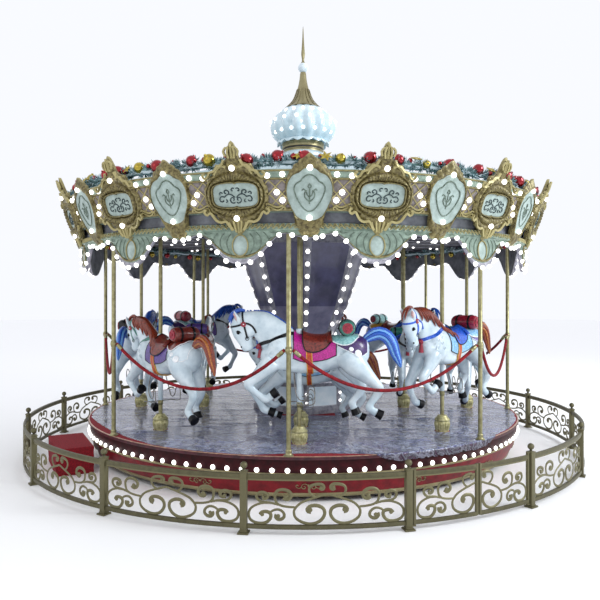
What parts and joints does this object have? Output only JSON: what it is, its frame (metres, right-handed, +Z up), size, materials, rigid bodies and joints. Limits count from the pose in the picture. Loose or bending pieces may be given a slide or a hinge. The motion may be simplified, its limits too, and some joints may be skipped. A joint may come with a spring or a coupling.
{
  "type": "fairground carousel",
  "caption": "Round fairground carousel with galloping horses on poles, a carved canopy with a lamp dome, a centre column, rope rail and a scrollwork ring fence with gates.",
  "frame": {"origin": "centre of the carousel's turning axis, on the ground", "axes": "+Z up along the turning axis, -Y toward the pictured front, +X to the viewer's right"},
  "size_m": [6.9084, 6.9084, 5.577],
  "materials": {
    "steel": "dark satin paint",
    "carpet": "red pile carpet under clear film",
    "apron_paint": "glossy red and maroon paint",
    "brass": "polished, dulled by handling",
    "velvet": "red velvet over a soft core",
    "horse_gelcoat": "gloss white gelcoat with painted tack",
    "column_paint": "satin lavender grey and pale blue panels",
    "ceiling_paint": "dark satin paint",
    "board_paint": "antique olive gold over pale mint panels",
    "valance_paint": "satin pale mint with gold edges",
    "roof_paint": "satin pale blue",
    "fir": "frosted artificial fir with baubles",
    "dome_shell": "satin blue white lamp shell",
    "gilt": "antique gold paint",
    "fence_paint": "antique bronze gold paint"
  },
  "bodies": {
    "ground_works": {"base_frame": "steel", "boarding_step": "carpet", "fence_panel_01": "fence_paint", "fence_panel_02": "fence_paint", "fence_panel_03": "fence_paint", "fence_panel_04": "fence_paint", "fence_panel_05": "fence_paint", "fence_panel_06": "fence_paint", "fence_panel_07": "fence_paint", "fence_panel_08": "fence_paint", "fence_panel_09": "fence_paint", "fence_panel_10": "fence_paint", "fence_panel_11": "fence_paint", "fence_panel_12": "fence_paint", "fence_panel_13": "fence_paint", "fence_panel_14": "fence_paint"},
    "turntable": {"platform": "carpet", "apron": "apron_paint", "rim_pole_1": "brass", "rim_pole_2": "brass", "rim_pole_3": "brass", "rim_pole_4": "brass", "rim_pole_5": "brass", "rim_pole_6": "brass", "rim_pole_7": "brass", "rim_pole_8": "brass", "rope_1": "velvet", "rope_2": "velvet", "rope_3": "velvet", "rope_4": "velvet", "rope_5": "velvet", "rope_6": "velvet", "rope_7": "velvet", "rope_8": "velvet", "centre_column": "column_paint", "ceiling": "ceiling_paint", "canopy_frame": "gilt", "rounding_board": "board_paint", "valance": "valance_paint", "roof": "roof_paint", "garland": "fir", "lamp_dome": "dome_shell", "spire": "gilt"},
    "gate_1_left_leaf": {"gate_1_left_leaf": "fence_paint"},
    "gate_1_right_leaf": {"gate_1_right_leaf": "fence_paint"},
    "gate_2_left_leaf": {"gate_2_left_leaf": "fence_paint"},
    "gate_2_right_leaf": {"gate_2_right_leaf": "fence_paint"},
    "outer_horse_1": {"outer_horse_1": "horse_gelcoat"},
    "outer_horse_2": {"outer_horse_2": "horse_gelcoat"},
    "outer_horse_3": {"outer_horse_3": "horse_gelcoat"},
    "outer_horse_4": {"outer_horse_4": "horse_gelcoat"},
    "outer_horse_5": {"outer_horse_5": "horse_gelcoat"},
    "outer_horse_6": {"outer_horse_6": "horse_gelcoat"},
    "outer_horse_7": {"outer_horse_7": "horse_gelcoat"},
    "outer_horse_8": {"outer_horse_8": "horse_gelcoat"},
    "inner_horse_1": {"inner_horse_1": "horse_gelcoat"},
    "inner_horse_2": {"inner_horse_2": "horse_gelcoat"},
    "inner_horse_3": {"inner_horse_3": "horse_gelcoat"},
    "inner_horse_4": {"inner_horse_4": "horse_gelcoat"}
  },
  "joints": [
    {"name": "carousel_spin", "type": "hinge", "parent": "ground_works", "child": "turntable", "pos_m": [0, 0, 0.4], "axis": [0, 0, 1], "continuous": true},
    {"name": "gate_1_left_swing", "type": "hinge", "parent": "ground_works", "child": "gate_1_left_leaf", "pos_m": [0.91032, -3.31426, 0.26], "axis": [0, 0, 1], "range_deg": [-90, 0]},
    {"name": "gate_1_right_swing", "type": "hinge", "parent": "ground_works", "child": "gate_1_right_leaf", "pos_m": [2.02708, -2.77559, 0.26], "axis": [0, 0, 1], "range_deg": [0, 90]},
    {"name": "gate_2_left_swing", "type": "hinge", "parent": "ground_works", "child": "gate_2_left_leaf", "pos_m": [-3.31426, -0.91032, 0.26], "axis": [0, 0, 1], "range_deg": [-90, 0]},
    {"name": "gate_2_right_swing", "type": "hinge", "parent": "ground_works", "child": "gate_2_right_leaf", "pos_m": [-2.77559, -2.02708, 0.26], "axis": [0, 0, 1], "range_deg": [0, 90]},
    {"name": "outer_horse_1_gallop", "type": "slide", "parent": "turntable", "child": "outer_horse_1", "axis": [0, 0, 1], "range_m": [-0.17, 0.05]},
    {"name": "outer_horse_2_gallop", "type": "slide", "parent": "turntable", "child": "outer_horse_2", "axis": [0, 0, 1], "range_m": [-0.195, 0.025]},
    {"name": "outer_horse_3_gallop", "type": "slide", "parent": "turntable", "child": "outer_horse_3", "axis": [0, 0, 1], "range_m": [-0.01, 0.21]},
    {"name": "outer_horse_4_gallop", "type": "slide", "parent": "turntable", "child": "outer_horse_4", "axis": [0, 0, 1], "range_m": [-0.14, 0.08]},
    {"name": "outer_horse_5_gallop", "type": "slide", "parent": "turntable", "child": "outer_horse_5", "axis": [0, 0, 1], "range_m": [-0.05, 0.17]},
    {"name": "outer_horse_6_gallop", "type": "slide", "parent": "turntable", "child": "outer_horse_6", "axis": [0, 0, 1], "range_m": [-0.2, 0.02]},
    {"name": "outer_horse_7_gallop", "type": "slide", "parent": "turntable", "child": "outer_horse_7", "axis": [0, 0, 1], "range_m": [-0.12, 0.1]},
    {"name": "outer_horse_8_gallop", "type": "slide", "parent": "turntable", "child": "outer_horse_8", "axis": [0, 0, 1], "range_m": [-0.085, 0.135]},
    {"name": "inner_horse_1_gallop", "type": "slide", "parent": "turntable", "child": "inner_horse_1", "axis": [0, 0, 1], "range_m": [-0.02, 0.2]},
    {"name": "inner_horse_2_gallop", "type": "slide", "parent": "turntable", "child": "inner_horse_2", "axis": [0, 0, 1], "range_m": [-0.13, 0.09]},
    {"name": "inner_horse_3_gallop", "type": "slide", "parent": "turntable", "child": "inner_horse_3", "axis": [0, 0, 1], "range_m": [-0.18, 0.04]},
    {"name": "inner_horse_4_gallop", "type": "slide", "parent": "turntable", "child": "inner_horse_4", "axis": [0, 0, 1], "range_m": [-0.21, 0.01]}
  ]
}
